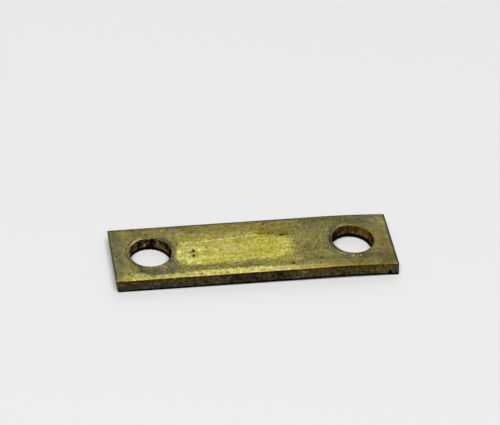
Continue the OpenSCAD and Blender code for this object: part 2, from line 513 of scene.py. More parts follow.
class Finish:
    """Builds the nodes of one material, with colours from a property group"""

    def __init__(self, name, colours):
        self.colours = colours
        self.material = bpy.data.materials.new(name)
        self.material.use_nodes = True
        self.tree = self.material.node_tree
        self.shader = self.tree.nodes["Principled BSDF"]

    def add(self, kind, **settings):
        node = self.tree.nodes.new(kind)
        for name, value in settings.items():
            setattr(node, name, value)
        return node

    def feed(self, socket, value):
        if isinstance(value, Field):
            self.tree.links.new(value.socket, socket)
        elif isinstance(value, bpy.types.NodeSocket):
            self.tree.links.new(value, socket)
        else:
            socket.default_value = value

    def shade(self, name):
        """One of the colours, as a shader takes it"""
        return (*getattr(self.colours, name), 1)

    def place(self, stretch=(1, 1, 1)):
        """Position on the strip in millimetres, stretched along each axis"""
        source = self.add("ShaderNodeTexCoord")
        mapping = self.add("ShaderNodeMapping")
        self.feed(mapping.inputs["Vector"], source.outputs["Object"])
        mapping.inputs["Scale"].default_value = [factor / MM for factor in stretch]
        return mapping.outputs["Vector"]

    def noise(self, stretch, scale, detail, roughness):
        """Noise on both sides of 0, its scale in lumps per millimetre before it is stretched"""
        node = self.add("ShaderNodeTexNoise")
        self.feed(node.inputs["Vector"], self.place(stretch))
        node.inputs["Scale"].default_value = scale
        node.inputs["Detail"].default_value = detail
        node.inputs["Roughness"].default_value = roughness
        return Field(self, node.outputs[0]) - NOISE_MIDDLE

    def axes(self):
        """Places along the strip, across it and up, in millimetres"""
        node = self.add("ShaderNodeSeparateXYZ")
        self.feed(node.inputs[0], self.place())
        return [Field(self, socket) for socket in node.outputs]

    def level(self):
        """Share of the way up the edge, row by row"""
        node = self.add("ShaderNodeAttribute", attribute_name="level")
        return Field(self, node.outputs["Fac"])

    def colour_scale(self, value, stops):
        """Colour picked from a scale of stops by a field"""
        node = self.add("ShaderNodeValToRGB")
        self.feed(node.inputs[0], value)
        elements = node.color_ramp.elements
        while len(elements) < len(stops):
            elements.new(SCALE_MIDDLE)
        for element, (position, name) in zip(elements, stops):
            element.position = position
            element.color = self.shade(name)
        return node.outputs[0]

    def tint(self, base, name, share):
        """Mixes a share of a named colour over a base colour"""
        node = self.add("ShaderNodeMix", data_type="RGBA")
        self.feed(node.inputs[MIX_SHARE], share)
        self.feed(node.inputs[MIX_BELOW], base)
        node.inputs[MIX_ON_TOP].default_value = self.shade(name)
        return node.outputs[MIXED]

    def shifted(self, base, hue, saturation, value=1.0):
        """Turns the hue of a base colour, where half a turn leaves it, and scales saturation and value"""
        node = self.add("ShaderNodeHueSaturation")
        self.feed(node.inputs["Hue"], hue)
        self.feed(node.inputs["Saturation"], saturation)
        self.feed(node.inputs["Value"], value)
        self.feed(node.inputs["Color"], base)
        return node.outputs[0]

    def bump(self, height, depth):
        """Fine relief, its depth in metres"""
        node = self.add("ShaderNodeBump")
        self.feed(node.inputs["Height"], height)
        node.inputs["Distance"].default_value = depth
        self.feed(self.shader.inputs["Normal"], node.outputs["Normal"])

    def complete(self, colour, roughness, sheen="plain_sheen"):
        """Bare metal of a colour and roughness; the sheen is the colour of light that grazes it"""
        self.feed(self.shader.inputs["Base Color"], colour)
        self.feed(self.shader.inputs["Roughness"], roughness)
        self.shader.inputs["Metallic"].default_value = 1.0
        self.shader.inputs["Specular Tint"].default_value = self.shade(sheen)
        return self.material


# Colours by wear, from dark tarnish to rubbed brass: wear and name of the colour
BRASS_SCALE = (
    (0.0, "black_tarnish"),
    (0.2, "dark_tarnish"),
    (0.4, "olive_tarnish"),
    (0.6, "dull_brass"),
    (0.8, "clean_brass"),
    (1.0, "rubbed_brass"),
)
EDGE_SCALE = ((0.0, "edge_black"), (0.15, "edge_dark"), (0.5, "edge_brown"), (1.0, "edge_bright"))
WALL_SCALE = ((0.0, "wall_black"), (0.15, "wall_dark"), (0.5, "wall_brown"), (1.0, "wall_bright"))

# Noises of each finish: stretch along the axes, lumps per millimetre, detail and roughness
TOP_NOISES = {
    "drift": ((1, 1, 1), 0.6, 3.0, 0.5),
    "sway": ((1, 1, 4), 0.8, 3.0, 0.5),
    "fray": ((1, 1, 7), 2.4, 2.0, 0.5),
    "blotch": ((1, 1, 1), 0.32, 3.0, 0.5),
    "mottle": ((1, 1, 1), 1.1, 4.0, 0.6),
    "grain": ((1.15, 1, 1), 2.3, 3.0, 0.65),
    "specks": ((1, 1, 3), 2.0, 2.0, 0.5),
    "streaks": ((0.09, 1.5, 1), 1.0, 4.0, 0.7),
    "cast": ((1, 1, 5), 0.7, 2.0, 0.5),
    "depth": ((1, 1, 9), 0.45, 2.0, 0.5),
}
UNDER_NOISES = {
    "mottle": ((1, 1, 1), 1.1, 4.0, 0.6),
    "grain": ((1, 1, 1), 2.3, 3.0, 0.65),
    "blotch": ((1, 1, 1), 0.3, 3.0, 0.5),
    "streaks": ((0.09, 1.5, 1), 1.0, 4.0, 0.7),
    "cast": ((1, 1, 5), 0.7, 2.0, 0.5),
}
EDGE_NOISES = {
    "streaks": ((1, 1, 0.2), 1.6, 4.0, 0.7),
    "mottle": ((1, 1, 1), 1.5, 4.0, 0.65),
    "blotch": ((1, 1, 1), 0.35, 3.0, 0.5),
}
WALL_NOISES = {
    "streaks": ((1, 1, 0.3), 1.0, 4.0, 0.7),
    "mottle": ((1, 1, 1), 1.3, 4.0, 0.65),
    "blots": ((1, 1, 0.7), 0.9, 3.0, 0.5),
    "grain": ((1, 1, 0.8), 2.6, 2.0, 0.6),
}

# How far noise moves the borders of what lies on a surface, along and across, in millimetres
RAGGED = ({"drift": 1.6, "fray": 1.2}, {"sway": 1.0, "fray": 1.0})
ARC_RAGGED = ({"fray": 0.35}, {"sway": 0.3})
MARK_RAGGED = ({"fray": 0.6}, {"fray": 0.4})
PIT_RAGGED = ({"fray": 0.2, "grain": 0.5}, {"fray": 0.2, "mottle": 0.4})

# Where a spot starts and is full, as squares of a share of its half sizes
SPOT_FADE = (1.7, 0.4)
PIT_FADE = (1.5, 0.5)
PIT_HALO_FADE = (2.4, 0.8)

# Rubbed patch: middle, half sizes, slant, squareness of its outline, and where it starts and is full
PATCH_MIDDLE = (-4.4, -0.75)
PATCH_SIZES = (13.0, 3.6)
PATCH_SLANT = 0.035
PATCH_SQUARENESS = (6.0, 3.0)
PATCH_FADE = (1.6, 0.45)

# Faint halo on the far side of the patch: middle, and fades along and across
HALO_MIDDLE = (-6.5, 3.2)
HALO_FADES = ((12.0, 8.0), (2.6, 0.8))

# Bright band along the near shoulder: middle and length of its bow, far border there, fade and start
BAND_MIDDLE = -3.0
BAND_BOW = 20.0
BAND_BORDER = -6.55
BAND_FADE = (0.35, -0.35)
BAND_START = (-28.8, -26.5)

# Darker streak beside the band: middle, slant, and fades along and across
DARK_STREAK_MIDDLE = (-2.0, -6.0)
DARK_STREAK_SLANT = 0.02
DARK_STREAK_FADES = ((4.2, 2.6), (0.34, 0.12))

# Broken scratch along the far side of the patch: its line, fray, width and ends
SCRATCH_PLACE = 3.15
SCRATCH_SLANT = 0.072
SCRATCH_FRAY = 0.4
SCRATCH_WIDTH = (0.28, 0.10)
SCRATCH_START = (-15.5, -14.0)
SCRATCH_STOP = (3.0, 1.0)

# Bright end of the patch, where the speckle is stronger: middle and half sizes
BRIGHT_END = ((-14.0, -0.8), (3.2, 3.6))

# Stretches of the top face: the field that each follows, and where it is 0 and 1
TOP_STRETCHES = {
    "straight_roll": ("x", -29.2, -29.6),
    "bent_roll": ("x", 28.8, 29.4),
    "bent_arris": ("x", 29.7, 29.9),
    "far_arris": ("y", 7.7, 7.95),
    "near_arris": ("y", -7.7, -8.0),
    "notch_rows": ("y", -7.65, -7.95),
    "notch_lumps": ("fray", 0.0, 0.12),
    "notch_stretch": ("x", 2.0, -8.0),
    "bent_half": ("x", -4.0, 4.0),
    "arris_stretch": ("x", 26.0, 8.0),
    "band_stretch": ("ragged_x", 24.0, 6.0),
    "band_dull_end": ("ragged_x", -12.0, -17.0),
    "band_red_end": ("x", 2.0, 10.0),
    "band_rusty_end": ("x", 2.0, 13.0),
    "green_end": ("x", -25.5, -28.5),
    "smooth_end": ("x", -18.0, -27.0),
    "smooth_bend": ("x", 10.0, 18.0),
    "far_strip": ("ragged_y", 3.8, 5.2),
    "far_strip_start": ("x", 2.0, -6.0),
    "thin_tarnish": ("mottle", -0.16, 0.10),
    "scratch_parts": ("specks", -0.08, 0.04),
    "brown_specks": ("specks", 0.08, 0.22),
}

# Wear of the plain top face, and what is added to it; the rolled ends get painted light here too
PLAIN_WEAR = 0.47
WEAR = {
    "worn_band": 0.45,
    "dull_band": -0.08,
    "arris": -0.07,
    "bent_half_arris": 0.12,
    "crease": -0.16,
    "notches": -0.34,
    "scratch": 0.36,
    # straight_roll and bent_roll are painted light: they lighten the rolled ends, which face away from
    # the lamps and fall into shade
    "straight_roll": 0.20,
    "bent_roll": 0.08,
    "bent_arris": -0.18,
    "far_arris": -0.34,
    "blotch": 0.30,
    "mottle": 0.12,
}
HALO_WEAR = 0.17
PATCH_WEAR = 0.34
# Share of an arc that shows where the tarnish is thick, and what thin tarnish adds
ARC_SHARE = 0.45
THIN_ARC_SHARE = {"thin_tarnish": 0.75}
# Greyness of the rolled ends
STRAIGHT_ROLL_GREY = 0.6
BENT_ARRIS_GREY = 0.3

# Strength of the speckle and streaks on the plain top face, and what is added to each
SPECKLE = 3.1
SPECKLE_CHANGES = {
    "bright_end": 0.3,
    "rubbed": -0.9,
    "band": -0.9,
    "grey": -1.0,
    "smooth_end": -1.0,
    "smooth_bend": -0.9,
    "smooth_far_strip": -0.9,
}
STREAKS = 0.5
STREAK_CHANGES = {"rubbed": 0.65, "smooth_bend": 0.6, "far_strip": 0.4}
TEXTURE_MOTTLE = {"mottle": 1.3}
# The texture never darkens the top face or the underside below this share
LEAST_VALUE = 0.2

# Saturation and hue of the top face, where a hue of half a turn leaves a colour as it is
SAME_HUE = 0.5
TOP_SATURATION = 0.98
TOP_SATURATION_CHANGES = {
    "texture": -0.32,
    "rubbed_texture": -0.10,
    "grey": -0.32,
    "depth": 0.4,
    "rubbed": 0.04,
    "rubbed_bent_half": 0.06,
}
TOP_HUE_CHANGES = {"cast": 0.10, "rubbed_cast": -0.05, "green_end": 0.012, "red_band": -0.012}
RUSTY_BAND = 0.26
BROWN_SPECKS = 0.4
RUBBED_SPECKS = {"rubbed": -0.25}
PIT_HALO = 0.6
TOP_RELIEF = {"mottle": 0.4, "grain": 0.8, "streaks": 0.5, "pits": -0.4}
TOP_RELIEF_DEPTH = 0.03 * MM
TARNISH_ROUGHNESS = 0.60
TOP_ROUGHNESS_CHANGES = {"wear": -0.25, "mottle": 0.15}

# Underside: wear, its texture, the washer marks round the holes, and relief
UNDER_WEAR = 0.42
UNDER_WEAR_CHANGES = {"mottle": 0.12, "blotch": 0.3, "streaks": 0.1}
WASHER_FADE = (7.0, 5.8)
WASHER_WEAR = -0.1
UNDER_TEXTURE = {"grain": 2.6, "mottle": 1.2, "streaks": 0.6}
UNDER_SATURATION = 0.92
UNDER_SATURATION_CHANGES = {"texture": -0.28}
UNDER_HUE_CHANGES = {"cast": 0.10}
UNDER_RELIEF = {"mottle": 1.0, "streaks": 0.5}
UNDER_RELIEF_DEPTH = 0.02 * MM
UNDER_ROUGHNESS_CHANGES = {"wear": -0.25}

# Level on the edges and hole walls under which soot and painted contact shade blacken the metal
SOOT_AND_SHADE_TOP = 0.28

# Sheared edges: how noise moves the levels, and the stretches along the strip and up
EDGE_RAGGED = {"mottle": 0.4}
EDGE_SOOT_AND_SHADE_RAGGED = {"mottle": 0.06}
EDGE_ARRIS_RAGGED = {"streaks": 0.12}
DARK_ROW_RAGGED = {"streaks": 0.1}
DARK_ROW_LEVEL = 0.84
DARK_ROW_FADE = (0.09, 0.03)
BROWN_MIDDLE = 2.0
BROWN_FADE = (24.0, 8.0)
EDGE_STRETCHES = {
    "upper": ("ragged_level", 0.30, 0.75),
    "top_rows": ("level", 0.72, 0.94),
    "arris_rows": ("arris_level", 0.88, 0.97),
    "arris_stretch": ("x", 26.0, 4.0),
    "bright_stretch": ("x", -16.0, 0.0),
    "bend": ("x", 8.0, 24.0),
    # clean falls to 0 where soot and painted contact shade blacken the bottom of the edge
    "clean": ("soot_level", SOOT_AND_SHADE_TOP - 0.03, SOOT_AND_SHADE_TOP + 0.04),
}
# Tone of the sheared edges, and what is added to it
EDGE_TONE = 0.315
EDGE_TONE_CHANGES = {
    "upper": 0.11,
    "streaks": 0.8,
    "mottle": 1.3,
    "blotch": 0.3,
    "dark_row": -0.08,
    "arris": 0.16,
    "bright_arris": 0.24,
}
EDGE_HUE = 0.520
EDGE_HUE_CHANGES = {"upper": -0.022, "brown_upper": -0.022, "top_rows": -0.006}
EDGE_SATURATION = 0.56
EDGE_SATURATION_CHANGES = {"upper": 0.45, "top_rows": 0.24, "bend": 0.14}
TORN_RELIEF = {"streaks": 1.0, "mottle": 0.6}
EDGE_RELIEF_DEPTH = 0.06 * MM
TORN_ROUGHNESS = 0.52
TORN_ROUGHNESS_CHANGES = {"mottle": 0.3}

# Middle and half sizes of the painted shade in the nick, along the strip and up, and where the near side
# starts
NICK_SHADE_PLACE = (28.4, 0.78)
NICK_SHADE_SIZES = (0.30, 0.75)
NEAR_SIDE = (0.0, -1.0)

# Stretches of the sheared edges that are darker or lighter: place along the strip, reach, change of tone
EDGE_SHADES = (
    (-0.5, 7.5, -0.12),
    (5.5, 3.0, -0.06),
    (10.5, 4.0, 0.12),
    (17.5, 3.0, -0.03),
    (26.0, 4.5, 0.09),
    (29.9, 1.3, 0.10),
)
# Share of the reach within which the change is whole
SHADE_CORE = 0.4

# Hole walls: how noise moves the levels and shades, and the stretches along the strip and up
WALL_RAGGED = {"mottle": 0.3}
WALL_SOOT_AND_SHADE_RAGGED = {"mottle": 0.10}
WALL_SHADES_RAGGED = ({"streaks": 0.8}, {"mottle": 0.8})
WALL_STRETCHES = {
    "torn_side": ("x", 10.0, -10.0),
    "bent_hole": ("x", 18.0, 25.0),
    "top_rows": ("level", 0.84, 1.0),
    "dark_blots": ("blots", 0.0, 0.10),
    "upper": ("ragged_level", 0.40, 0.75),
    # clean falls to 0 where soot and painted contact shade blacken the lower rim of the wall
    "clean": ("soot_level", SOOT_AND_SHADE_TOP + 0.01, SOOT_AND_SHADE_TOP + 0.16),
}
# Tone of the hole walls, and what is added to it
WALL_TONE = 0.55
WALL_TONE_CHANGES = {
    "torn_side": -0.11,
    "streaks": 0.9,
    "torn_streaks": 1.2,
    "mottle": 0.72,
    "torn_mottle": 0.96,
    "top_rows": 0.2,
    "grain": 1.1,
}
WALL_BLOTS = {"dark_blots": -0.3, "torn_blots": -0.5}
WALL_HUE = 0.488
WALL_HUE_CHANGES = {"bent_hole": -0.004}
WALL_SATURATION = 0.90
WALL_SATURATION_CHANGES = {"torn_side": -0.08, "upper": 0.10, "bent_hole": 0.06}
WALL_RELIEF_DEPTH = 0.08 * MM

# Lighter and darker places on the hole walls: place along the strip and up, half sizes, change of tone
WALL_SHADES = (
    ((-22.0, 1.15), (0.75, 0.65), 0.44),
    ((-20.9, 1.9), (0.50, 1.1), -0.30),
    ((-18.7, 0.95), (0.7, 0.45), 0.20),
    ((-19.8, 1.6), (0.5, 0.7), -0.12),
    ((-25.2, 1.1), (0.8, 0.6), 0.22),
    ((-23.6, 1.2), (0.5, 0.4), 0.14),
    ((17.6, 1.5), (1.4, 1.6), -0.22),
    ((19.6, 2.3), (0.9, 0.8), -0.10),
    ((20.0, 1.6), (0.8, 0.5), 0.12),
    ((25.0, 2.0), (1.6, 1.6), 0.07),
)

# Coloured marks on the top face: place, half sizes, colour and strength
MARKS = (
    ((0.0, 5.8), (8.5, 1.9), "rust", 0.16),
    ((4.5, -0.5), (4.0, 3.6), "rust", 0.07),
    ((-8.5, 1.0), (2.5, 0.8), "rust", 0.22),
    ((-3.4, 1.3), (1.6, 0.6), "rust", 0.20),
    ((2.3, 3.75), (0.9, 0.50), "stain", 0.90),
    ((4.1, 3.95), (1.0, 0.45), "stain", 0.85),
    ((3.2, 4.45), (1.5, 0.80), "stain", 0.60),
    ((2.6, 5.3), (0.6, 0.6), "stain", 0.40),
    ((7.4, 3.6), (2.2, 1.0), "stain", 0.25),
    ((2.8, 5.0), (0.35, 0.40), "soot", 0.4),
    ((-13.3, -0.75), (0.7, 0.32), "brown", 0.75),
    ((-12.7, -1.1), (0.8, 1.5), "brown", 0.25),
    ((7.2, 3.1), (1.2, 0.5), "brown", 0.55),
    ((7.4, -5.6), (1.0, 0.9), "stain", 0.5),
    ((-6.7, -0.6), (0.5, 0.35), "brown", 0.6),
    ((-9.8, 0.5), (0.3, 0.5), "brown", 0.5),
    ((5.3, 6.35), (0.2, 0.3), "soot", 0.5),
    ((6.9, 6.95), (1.7, 0.35), "rose", 0.70),
    ((7.6, 6.40), (1.2, 0.16), "brown", 0.6),
    ((-15.9, 2.2), (0.3, 0.7), "brown", 0.8),
    ((22.0, 4.75), (2.2, 0.25), "rose", 0.25),
    ((28.0, 0.6), (0.9, 2.4), "rust", 0.45),
    ((27.2, 2.6), (0.7, 0.9), "rust", 0.35),
    ((11.0, -7.4), (6.0, 0.8), "rose", 0.20),
    ((28.8, -0.8), (0.35, 0.4), "rust", 0.6),
    ((27.6, -1.6), (0.7, 0.4), "rust", 0.4),
    ((28.6, -5.6), (1.4, 2.6), "brown", 0.4),
    ((-28.2, -7.2), (1.8, 0.9), "rose", 0.45),
    ((13.6, -5.2), (1.7, 0.6), "brown", 0.25),
    ((16.9, 0.8), (0.35, 0.7), "brown", 0.6),
    ((3.5, -5.2), (4.0, 0.9), "rust", 0.14),
    # Two painted glints: small painted highlights beside the near rim of the bent-end hole
    ((20.8, -5.15), (0.20, 0.34), "glint", 0.70),
    ((22.4, -5.15), (0.18, 0.28), "glint", 0.65),
)

# Small dark pits in the top face: place, half sizes and darkness
PITS = (
    ((-12.65, -0.35), (0.28, 0.43), 0.95),
    ((-12.85, -1.95), (0.26, 0.40), 0.95),
    ((6.75, 2.8), (0.50, 0.27), 0.9),
    ((7.6, 2.9), (0.40, 0.17), 0.5),
    ((7.75, -6.25), (0.40, 0.36), 0.75),
    ((2.2, 3.60), (0.34, 0.24), 0.45),
    ((3.0, 3.50), (0.30, 0.16), 0.30),
    ((4.0, 3.65), (0.30, 0.30), 0.45),
    ((4.9, 3.70), (0.24, 0.24), 0.25),
    ((3.3, 6.65), (0.22, 0.26), 0.8),
    ((6.2, 7.5), (0.28, 0.20), 0.8),
    ((-22.1, 5.9), (0.22, 0.24), 0.8),
    ((-24.3, -5.6), (0.20, 0.36), 0.8),
    ((14.0, -5.2), (0.36, 0.26), 0.6),
    ((-26.9, -6.4), (0.22, 0.26), 0.7),
    ((-23.7, -7.2), (0.18, 0.22), 0.7),
    ((-21.0, 4.55), (0.30, 0.30), 0.8),
)

# Places that are more or less worn than the metal round them: place, half sizes and change of wear
SHADES = (
    ((-14.0, -1.5), (2.6, 2.4), 0.06),
    ((-13.7, 2.3), (1.6, 0.5), 0.14),
    ((-25.5, -7.2), (3.0, 1.1), 0.31),
    ((-16.6, -4.2), (1.8, 1.4), -0.08),
    ((-21.6, -5.9), (4.0, 1.1), -0.16),
    ((13.6, -5.2), (1.7, 0.6), -0.06),
    ((-8.0, -5.3), (5.0, 0.9), 0.05),
    ((-10.5, -3.2), (4.0, 0.9), 0.05),
    ((8.6, -0.8), (2.0, 3.2), 0.06),
    ((0.0, -1.0), (4.5, 2.2), -0.03),
    ((-28.6, 1.0), (1.0, 7.0), -0.09),
    ((25.0, 4.6), (1.8, 1.0), -0.10),
    ((-1.0, 6.0), (9.0, 2.0), 0.05),
    ((16.0, 6.2), (6.0, 1.6), -0.06),
    ((23.0, 6.8), (4.0, 1.0), -0.07),
    ((22.0, -5.3), (3.6, 1.0), -0.14),
    ((22.5, 5.7), (3.5, 0.9), -0.08),
    ((20.0, -7.2), (4.0, 0.9), -0.06),
    ((29.0, 5.6), (0.8, 2.2), 0.12),
    ((28.4, -6.0), (2.4, 2.6), -0.11),
    ((-24.4, -4.6), (1.1, 0.7), -0.08),
    ((5.5, -5.0), (4.6, 1.2), 0.12),
    ((1.8, 3.3), (0.9, 0.6), 0.07),
    ((12.0, -7.2), (5.5, 0.9), 0.06),
    ((17.05, -1.1), (0.3, 0.5), 0.22),
)

# Places where washers and damp have greyed the metal: place, half sizes and share
GREYS = (
    ((-21.6, -5.9), (4.0, 1.0), 0.75),
    ((-28.6, 1.0), (1.5, 7.0), 0.5),
    ((29.2, 2.0), (0.8, 6.0), 0.3),
    ((-17.3, -4.0), (1.2, 2.0), 0.7),
    ((-16.4, 6.2), (1.0, 0.8), 0.5),
    ((19.4, -5.2), (2.4, 0.9), 0.8),
    ((23.0, 6.8), (3.6, 0.8), 0.5),
    ((26.6, 5.6), (1.3, 2.0), 0.8),
    ((17.05, -1.1), (0.3, 0.5), 0.7),
)

# Arcs beside the holes: number of the hole, radius, half width, direction and spread in degrees,
# change of wear, and greyness; bright arcs on the rims add painted highlight to worn metal
ARCS = (
    # Bright rim arcs at 168 and 266 degrees beside the straight-end hole and at 178 beside the bent-end
    # hole: scraped metal with painted highlight where the cone and rim catch the light
    (0, 4.66, 0.30, 168, 58, 0.36, 0.5),
    (0, 4.60, 0.32, 80, 35, -0.16, 0.0),
    (0, 4.52, 0.26, 266, 19, 0.52, 0.0),
    (0, 5.16, 0.22, 185, 60, -0.20, 0.2),
    (0, 4.85, 0.80, 5, 50, -0.22, 0.8),
    (1, 5.08, 0.24, 204, 30, -0.32, 0.3),
    (1, 5.00, 0.22, 148, 28, -0.20, 0.2),
    (1, 6.0, 0.8, 190, 40, -0.05, 0.4),
    (1, 4.74, 0.20, 178, 72, 0.30, 0.6),
    (1, 4.42, 0.18, 192, 40, -0.36, 0.0),
    (1, 4.62, 0.32, 92, 42, -0.20, 0.0),
    (1, 5.45, 0.26, 140, 28, -0.16, 0.0),
    (1, 4.75, 0.50, 320, 60, -0.08, 0.3),
    (0, 5.75, 0.10, 310, 28, 0.10, 0.3),
    (0, 6.25, 0.08, 305, 22, 0.08, 0.3),
    (1, 5.30, 0.10, 236, 18, 0.10, 0.3),
    (1, 5.75, 0.08, 240, 16, 0.10, 0.3),
)

# Part of an arc's half width within which it is whole, and how softly its two ends stop, in millimetres
ARC_CORE = 0.3
ARC_END_FADE = 0.5


def strongest(fields):
    """The greatest of some fields at each place"""
    greatest = fields[0]
    for field in fields[1:]:
        greatest = greatest.most(field)
    return greatest


def bounded(x, y, middle, fades):
    """A soft rectangle round a middle, which fades along the strip and across it"""
    return abs(x - middle[0]).ramp(*fades[0]) * abs(y - middle[1]).ramp(*fades[1])


def rubbed_patch(x, y):
    """The patch in the middle that handling and contact have rubbed clean, round at its ends"""
    along = abs(x - PATCH_MIDDLE[0]) * (1 / PATCH_SIZES[0])
    across = abs(y - x * PATCH_SLANT - PATCH_MIDDLE[1]) * (1 / PATCH_SIZES[1])
    size = along.power(PATCH_SQUARENESS[0]) + across.power(PATCH_SQUARENESS[1])
    return size.ramp(*PATCH_FADE)


def near_band(x, y):
    """The bright worn band along the near shoulder, which narrows towards both ends"""
    bow = (x - BAND_MIDDLE) * (1 / BAND_BOW)
    border = bow * bow * -1 + BAND_BORDER
    return (y - border).ramp(*BAND_FADE) * x.ramp(*BAND_START)


def spot(x, y, centre, sizes, fade=SPOT_FADE):
    """An oval spot that fades out from its core to its rim"""
    along = (x - centre[0]) * (1 / sizes[0])
    across = (y - centre[1]) * (1 / sizes[1])
    return (along * along + across * across).ramp(*fade)


def from_hole(x, y, hole):
    """Position and distance from the centre of a hole, in millimetres"""
    along = x - hole.x / MM
    across = y - hole.y / MM
    return along, across, (along * along + across * across).root()


def rim_arc(x, y, hole, radius, half_width, towards, spread):
    """A soft arc beside a hole, which faces one way and reaches a spread to both sides"""
    along, across, distance = from_hole(x, y, hole)
    facing = along * math.cos(math.radians(towards)) + across * math.sin(math.radians(towards))
    end = radius * math.cos(math.radians(spread))
    ring = abs(distance - radius).ramp(half_width, half_width * ARC_CORE)
    return ring * facing.ramp(end - ARC_END_FADE, end + ARC_END_FADE)


def scratch(x, y, sway, parts):
    """The thin broken scratch that runs a little aslant along the far side of the patch"""
    line = y - x * SCRATCH_SLANT - SCRATCH_PLACE + sway * SCRATCH_FRAY
    return abs(line).ramp(*SCRATCH_WIDTH) * x.ramp(*SCRATCH_START) * x.ramp(*SCRATCH_STOP) * parts


def strayed(fields, shifts, along="x", across="y"):
    """Places on a surface, moved a little by noise along two axes"""
    first, second = shifts
    strayed_along = fields.blend(getattr(fields, along), first)
    strayed_across = fields.blend(getattr(fields, across), second)
    return strayed_along, strayed_across


def top_fields(finish):
    """Everything on the top face that its colour, wear and texture are mixed from"""
    top = Fields(finish, TOP_NOISES)
    top.ragged_x, top.ragged_y = strayed(top, RAGGED)
    top.stretch(TOP_STRETCHES)
    ragged = (top.ragged_x, top.ragged_y)
    top.band = near_band(*ragged)
    top.worn_band = top.band * top.band_stretch
    top.dull_band = top.band * top.band_dull_end
    top.red_band = top.band * top.band_red_end
    top.arris = top.near_arris * top.arris_stretch
    top.bent_half_arris = top.arris * top.bent_half
    top.crease = bounded(top.x, top.y - top.x * DARK_STREAK_SLANT, DARK_STREAK_MIDDLE, DARK_STREAK_FADES)
    top.notches = top.notch_rows * top.notch_lumps * top.notch_stretch
    top.scratch = scratch(top.x, top.y, top.sway, top.scratch_parts)
    top.halo = bounded(*ragged, HALO_MIDDLE, HALO_FADES)
    top.bright_end = spot(*ragged, *BRIGHT_END)
    top.smooth_far_strip = top.far_strip * top.far_strip_start
    wear_top(top)
    top.rubbed_cast = top.cast * top.rubbed
    top.rubbed_bent_half = top.rubbed * top.bent_half
    return top


def wear_top(top):
    """Adds the wear, the greyness and the rubbed patch to the fields of the top face"""
    ragged = (top.ragged_x, top.ragged_y)
    wear = top.blend(PLAIN_WEAR, WEAR)
    greys = [top.bent_arris * BENT_ARRIS_GREY, top.straight_roll * STRAIGHT_ROLL_GREY]
    shown = top.blend(ARC_SHARE, THIN_ARC_SHARE)
    arc_place = strayed(top, ARC_RAGGED)
    for number, *shape, change, greyness in ARCS:
        arc = rim_arc(*arc_place, HOLES[number], *shape)
        wear = wear + arc * shown * change
        greys.append(arc * greyness)
    for centre, sizes, change in SHADES:
        wear = wear + spot(*ragged, centre, sizes) * change
    for centre, sizes, share in GREYS:
        greys.append(spot(*ragged, centre, sizes) * share)
    top.grey = strongest(greys)
    top.rubbed = rubbed_patch(*ragged) * (1 - top.grey)
    top.wear = wear + (top.halo * HALO_WEAR).most(top.rubbed * PATCH_WEAR)


def top_texture(top):
    """Speckle and streaks of the top face, as a change of brightness"""
    speckled = top.grain * top.blend(SPECKLE, SPECKLE_CHANGES)
    streaked = top.streaks * top.blend(STREAKS, STREAK_CHANGES)
    return top.blend(speckled + streaked, TEXTURE_MOTTLE)


def textured(finish, fields, hue_changes, saturation, saturation_changes):
    """Brass coloured by wear, with its texture in the brightness and saturation"""
    colour = finish.colour_scale(fields.wear, BRASS_SCALE)
    hue = fields.blend(SAME_HUE, hue_changes)
    saturation = fields.blend(saturation, saturation_changes)
    return finish.shifted(colour, hue, saturation, (fields.texture + 1).most(LEAST_VALUE))


def worn_face(colours):
    """Top face: olive tarnish, rubbed bright in places, with washer marks round the holes"""
    finish = Finish("worn_face", colours)
    top = top_fields(finish)
    top.texture = top_texture(top)
    top.rubbed_texture = top.texture * top.rubbed
    colour = textured(finish, top, TOP_HUE_CHANGES, TOP_SATURATION, TOP_SATURATION_CHANGES)
    colour = finish.tint(colour, "rust", top.band * top.band_rusty_end * RUSTY_BAND)
    colour = finish.tint(colour, "brown", top.brown_specks * top.blend(BROWN_SPECKS, RUBBED_SPECKS))
    mark_place = strayed(top, MARK_RAGGED)
    for centre, sizes, shade, strength in MARKS:
        colour = finish.tint(colour, shade, spot(*mark_place, centre, sizes) * strength)
    pit_place = strayed(top, PIT_RAGGED)
    halos = [spot(*pit_place, centre, sizes, PIT_HALO_FADE) * share for centre, sizes, share in PITS]
    pits = [spot(*pit_place, centre, sizes, PIT_FADE) * share for centre, sizes, share in PITS]
    top.pits = strongest(pits)
    colour = finish.tint(colour, "brown", strongest(halos) * PIT_HALO)
    colour = finish.tint(colour, "tar", top.pits)
    finish.bump(top.blend(0, TOP_RELIEF), TOP_RELIEF_DEPTH)
    return finish.complete(colour, top.blend(TARNISH_ROUGHNESS, TOP_ROUGHNESS_CHANGES))


def worn_underside(colours):
    """Underside: even tarnish with a faint grain along the strip"""
    finish = Finish("worn_underside", colours)
    under = Fields(finish, UNDER_NOISES)
    under.wear = under.blend(UNDER_WEAR, UNDER_WEAR_CHANGES)
    for hole in HOLES:
        _, _, distance = from_hole(under.x, under.y, hole)
        under.wear = under.wear + distance.ramp(*WASHER_FADE) * WASHER_WEAR
    under.texture = under.blend(0, UNDER_TEXTURE)
    colour = textured(finish, under, UNDER_HUE_CHANGES, UNDER_SATURATION, UNDER_SATURATION_CHANGES)
    finish.bump(under.blend(0, UNDER_RELIEF), UNDER_RELIEF_DEPTH)
    return finish.complete(colour, under.blend(TARNISH_ROUGHNESS, UNDER_ROUGHNESS_CHANGES))


